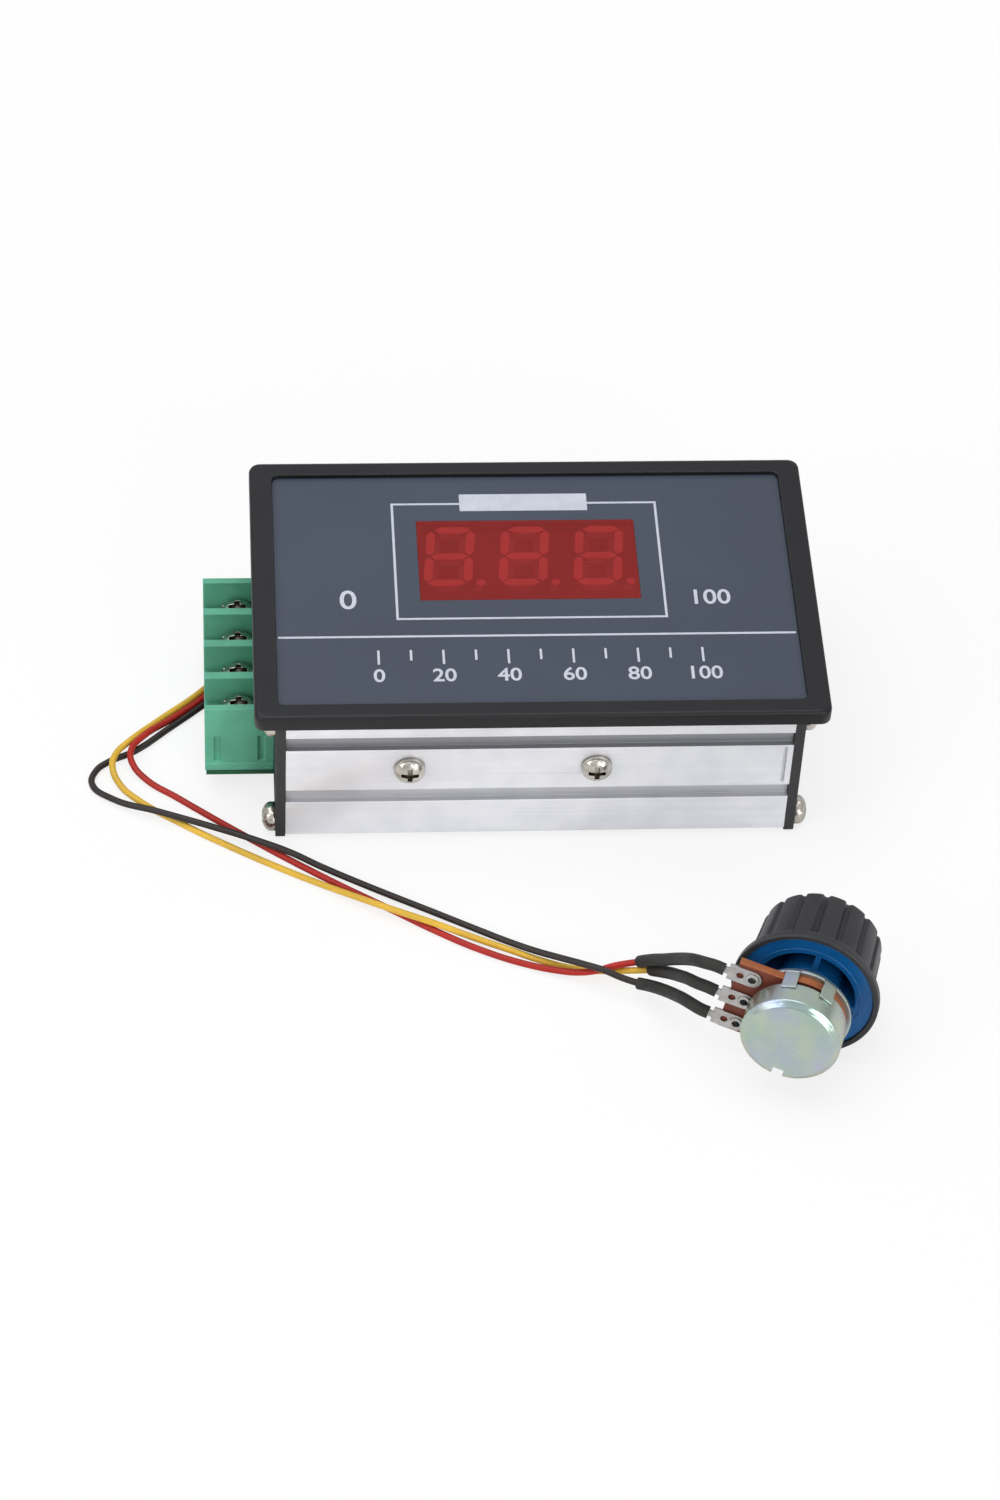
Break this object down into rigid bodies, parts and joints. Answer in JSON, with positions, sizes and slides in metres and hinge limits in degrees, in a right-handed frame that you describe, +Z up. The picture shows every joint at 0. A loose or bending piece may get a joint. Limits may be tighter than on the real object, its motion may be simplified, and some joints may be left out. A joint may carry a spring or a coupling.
{
  "type": "dc motor speed controller",
  "caption": "DC motor speed controller: finned aluminium case with a display bezel, screw terminal block, and a knob potentiometer on three sleeved wires.",
  "frame": {"origin": "on the surface that it stands on, under the middle of the unit's bounding box without the wires and sleeves", "axes": "+Z up, +X to the right along the case's length, +Y to the back; the terminal block is on the left and the potentiometer in front on the right"},
  "size_m": [0.1307, 0.1186, 0.033],
  "materials": {
    "bezel_plastic": "satin black moulded plastic",
    "label_film": "blue-grey printed film",
    "window_film": "clear dark red",
    "display_face": "dark red",
    "lit_bar": "red, unlit",
    "circuit_board": "green solder mask",
    "case_aluminium": "satin anodised",
    "plate_metal": "dark grey paint",
    "nickel_screw": "nickel plate",
    "tinned_metal": "tinned",
    "black_plastic": "black moulded",
    "white_plastic": "ivory moulded",
    "green_plastic": "green moulded",
    "silicone_pad": "grey",
    "rubber_black": "matt",
    "wire_red_skin": "smooth red insulation",
    "wire_yellow_skin": "smooth yellow insulation",
    "wire_black_skin": "smooth black insulation",
    "sleeve_skin": "matt shrunk sleeve",
    "zinc_plate": "pale yellow-green zinc plate",
    "wafer_board": "brown phenolic board",
    "carbon_track": "carbon",
    "spring_brass": "bright",
    "knob_plastic": "dark grey moulded",
    "insert_plastic": "blue moulded"
  },
  "bodies": {
    "unit": {"bezel": "bezel_plastic", "front_label": "label_film", "display_window": "window_film", "led_display": "display_face", "display_segments": "lit_bar", "display_board": "circuit_board", "display_board_screws": "nickel_screw", "case_extrusion": "case_aluminium", "left_end_plate": "plate_metal", "right_end_plate": "plate_metal", "end_plate_screws": "nickel_screw", "clamp_screws": "nickel_screw", "clamp_nuts": "nickel_screw", "insulating_bushes": "white_plastic", "insulating_pads": "silicone_pad", "power_transistor": "black_plastic", "flywheel_diode": "black_plastic", "main_board": "circuit_board", "terminal_block": "green_plastic", "terminal_contacts": "tinned_metal", "capacitors": "black_plastic", "control_chip": "black_plastic", "board_link_header": "black_plastic", "pot_socket": "white_plastic", "pot_plug": "white_plastic", "cable_grommet": "rubber_black", "wire_red": "wire_red_skin", "wire_yellow": "wire_yellow_skin", "wire_black": "wire_black_skin", "sleeve_red": "sleeve_skin", "sleeve_yellow": "sleeve_skin", "sleeve_black": "sleeve_skin", "pot_can": "zinc_plate", "pot_wafer": "wafer_board", "pot_lugs": "tinned_metal", "pot_rivets": "tinned_metal", "resistance_track": "carbon_track", "pot_front_plate": "zinc_plate", "pot_bushing": "zinc_plate"},
    "knob": {"knob_shell": "knob_plastic", "knob_insert": "insert_plastic", "pot_shaft": "zinc_plate", "pot_rotor": "white_plastic", "pot_wiper": "spring_brass"},
    "washer_1": {"clamp_washer_1": "tinned_metal"},
    "screw_1": {"terminal_screw_1": "nickel_screw"},
    "washer_2": {"clamp_washer_2": "tinned_metal"},
    "screw_2": {"terminal_screw_2": "nickel_screw"},
    "washer_3": {"clamp_washer_3": "tinned_metal"},
    "screw_3": {"terminal_screw_3": "nickel_screw"},
    "washer_4": {"clamp_washer_4": "tinned_metal"},
    "screw_4": {"terminal_screw_4": "nickel_screw"}
  },
  "joints": [
    {"name": "knob_turn", "type": "hinge", "parent": "unit", "child": "knob", "pos_m": [0.03762, -0.0568, 0.01431], "axis": [0.3137, 0.9374, -0.1513], "range_deg": [-150, 150]},
    {"name": "washer_1_lift", "type": "slide", "parent": "unit", "child": "washer_1", "axis": [0, 0, 1], "range_m": [0, 0.002]},
    {"name": "screw_1_turn", "type": "hinge", "parent": "washer_1", "child": "screw_1", "pos_m": [-0.04948, 0.01737, 0.0148], "axis": [0, 0, 1], "range_deg": [0, 1440]},
    {"name": "washer_2_lift", "type": "slide", "parent": "unit", "child": "washer_2", "axis": [0, 0, 1], "range_m": [0, 0.002]},
    {"name": "screw_2_turn", "type": "hinge", "parent": "washer_2", "child": "screw_2", "pos_m": [-0.04948, 0.02499, 0.0148], "axis": [0, 0, 1], "range_deg": [0, 1440]},
    {"name": "washer_3_lift", "type": "slide", "parent": "unit", "child": "washer_3", "axis": [0, 0, 1], "range_m": [0, 0.002]},
    {"name": "screw_3_turn", "type": "hinge", "parent": "washer_3", "child": "screw_3", "pos_m": [-0.04948, 0.03261, 0.0148], "axis": [0, 0, 1], "range_deg": [0, 1440]},
    {"name": "washer_4_lift", "type": "slide", "parent": "unit", "child": "washer_4", "axis": [0, 0, 1], "range_m": [0, 0.002]},
    {"name": "screw_4_turn", "type": "hinge", "parent": "washer_4", "child": "screw_4", "pos_m": [-0.04948, 0.04023, 0.0148], "axis": [0, 0, 1], "range_deg": [0, 1440]}
  ],
  "couplings": [
    {"joint": "screw_1_turn", "follows": "washer_1_lift", "rad_per_m": 12566},
    {"joint": "screw_2_turn", "follows": "washer_2_lift", "rad_per_m": 12566},
    {"joint": "screw_3_turn", "follows": "washer_3_lift", "rad_per_m": 12566},
    {"joint": "screw_4_turn", "follows": "washer_4_lift", "rad_per_m": 12566}
  ]
}
